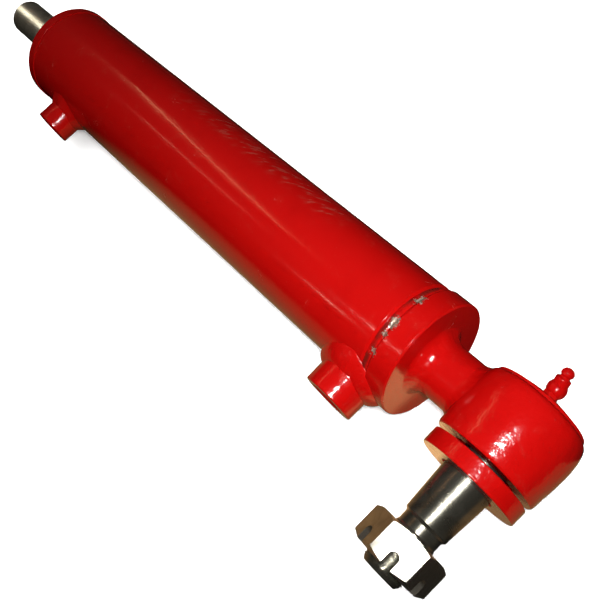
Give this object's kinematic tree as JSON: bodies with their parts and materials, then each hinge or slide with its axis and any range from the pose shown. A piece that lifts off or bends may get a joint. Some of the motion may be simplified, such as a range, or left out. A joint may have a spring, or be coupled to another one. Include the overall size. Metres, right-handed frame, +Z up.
{
  "type": "double-acting hydraulic cylinder with a ball-joint base end",
  "caption": "Double-acting hydraulic steering cylinder: welded barrel with side ports, plain piston rod at one end and a greased ball joint with tapered stud and slotted nut at the other.",
  "frame": {"origin": "centre of the footprint, on the surface that the cylinder lies on", "axes": "+X along the barrel from the rod end to the ball joint, +Z up, ball stud and ports point towards -Y"},
  "size_m": [0.4826, 0.1234, 0.0656],
  "materials": {
    "red_paint": "glossy red enamel over steel, hand sprayed after assembly",
    "ground_steel": "turned and ground, lightly oiled",
    "chromed_rod": "hard chromed and polished",
    "zinc_nut": "bright machined",
    "plain_nut": "self-colour",
    "spring_steel": "dark tempered",
    "cast_iron": "machined grey iron",
    "bronze": "sintered bronze",
    "white_plastic": "natural acetal",
    "black_rubber": "matt"
  },
  "bodies": {
    "barrel": {"barrel_tube": "red_paint", "end_cap": "red_paint", "cap_weld": "red_paint", "base_port_boss": "red_paint", "base_port_weld": "red_paint", "rod_port_boss": "red_paint", "rod_port_weld": "red_paint", "neck": "red_paint", "neck_cap_weld": "red_paint", "neck_housing_weld": "red_paint", "ball_housing": "red_paint", "housing_cap": "red_paint", "grease_fitting": "red_paint", "preload_spring": "spring_steel", "upper_ball_seat": "bronze", "lower_ball_seat": "bronze", "gland": "red_paint", "gland_oring": "black_rubber", "rod_wiper": "black_rubber", "rod_seal": "black_rubber", "rod_bush": "bronze"},
    "piston_rings": {"piston_seal": "black_rubber", "piston_wear_ring_1": "white_plastic", "piston_wear_ring_2": "white_plastic"},
    "rod": {"piston_rod": "chromed_rod", "piston": "cast_iron", "piston_oring": "black_rubber", "piston_nut": "plain_nut"},
    "liner": {"ball_liner": "white_plastic"},
    "dust_cover": {"dust_disc": "red_paint", "dust_seal": "black_rubber"},
    "stud": {"ball_stud": "ground_steel", "castle_nut": "zinc_nut"}
  },
  "joints": [
    {"name": "rod_slide", "type": "slide", "parent": "barrel", "child": "piston_rings", "axis": [-1, 0, 0], "range_m": [0, 0.22]},
    {"name": "rod_turn", "type": "hinge", "parent": "piston_rings", "child": "rod", "pos_m": [-0.2413, 0.02527, 0.03282], "axis": [-1, 0, 0], "continuous": true},
    {"name": "stud_swing_along", "type": "hinge", "parent": "barrel", "child": "liner", "pos_m": [0.2126, 0.02231, 0.03234], "axis": [0, -0.1622, 0.9868], "range_deg": [-3, 3]},
    {"name": "stud_swing_across", "type": "hinge", "parent": "liner", "child": "dust_cover", "pos_m": [0.2126, 0.02231, 0.03234], "axis": [1, 0, 0], "range_deg": [-3, 3]},
    {"name": "stud_spin", "type": "hinge", "parent": "dust_cover", "child": "stud", "pos_m": [0.2126, 0.02231, 0.03234], "axis": [0, -0.9868, -0.1622], "continuous": true}
  ]
}
